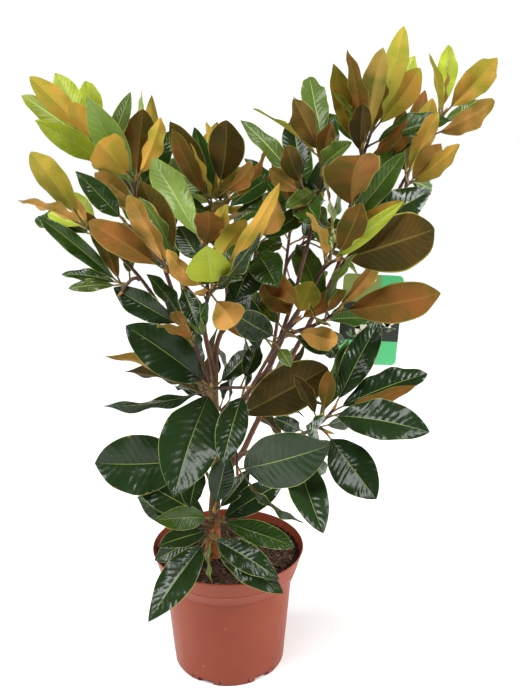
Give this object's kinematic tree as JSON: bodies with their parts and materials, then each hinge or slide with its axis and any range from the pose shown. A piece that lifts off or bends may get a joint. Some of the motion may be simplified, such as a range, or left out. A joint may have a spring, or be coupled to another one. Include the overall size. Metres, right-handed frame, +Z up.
{
  "type": "potted magnolia tree",
  "caption": "Young evergreen magnolia tree with a V-shaped open crown of large glossy leaves, standing in a tapered nursery pot with a hanging plant label.",
  "frame": {"origin": "middle of the flat underside of the pot", "axes": "+Z up the plant from the surface it stands on, front of the plant towards -Y, +X to the right seen from the front"},
  "size_m": [0.722, 0.5288, 1.0434],
  "materials": {
    "pot": "satin moulded plastic",
    "compost": "moist crumbly compost",
    "bark": "smooth young bark",
    "twig": "smooth reddish bark",
    "leaf": "glossy leaf",
    "card": "printed plastic card",
    "tie": "thin plastic tie"
  },
  "bodies": {
    "root": {"pot": "pot", "compost": "compost", "trunk": "bark", "bough_left_upper": "twig", "bough_left_middle": "twig", "bough_left_front": "twig", "bough_centre_front": "twig", "bough_centre": "twig", "bough_centre_right": "twig", "bough_right": "twig", "bough_right_inner": "twig", "bough_right_low_front": "twig", "bough_fork_right": "twig", "bough_right_back": "twig", "bough_far_right": "twig", "bough_right_low": "twig", "bough_right_lowest": "twig", "bough_back_left": "twig", "bough_back_right": "twig", "bough_back_low": "twig", "foliage_left_tip": "leaf", "foliage_left_middle": "leaf", "foliage_left_front": "leaf", "foliage_centre_front": "leaf", "foliage_centre_top": "leaf", "foliage_centre_right": "leaf", "foliage_right_inner": "leaf", "foliage_right_front": "leaf", "foliage_right_low_front": "leaf", "foliage_fork_right": "leaf", "foliage_top": "leaf", "foliage_far_right": "leaf", "foliage_right_low": "leaf", "foliage_right_lowest": "leaf", "foliage_trunk_middle": "leaf", "foliage_trunk_low": "leaf", "foliage_foot": "leaf", "foliage_back_left": "leaf", "foliage_back_right": "leaf", "foliage_back_low": "leaf", "foliage_trunk_right": "leaf", "plant_card": "card", "card_tie": "tie"}
  },
  "joints": []
}
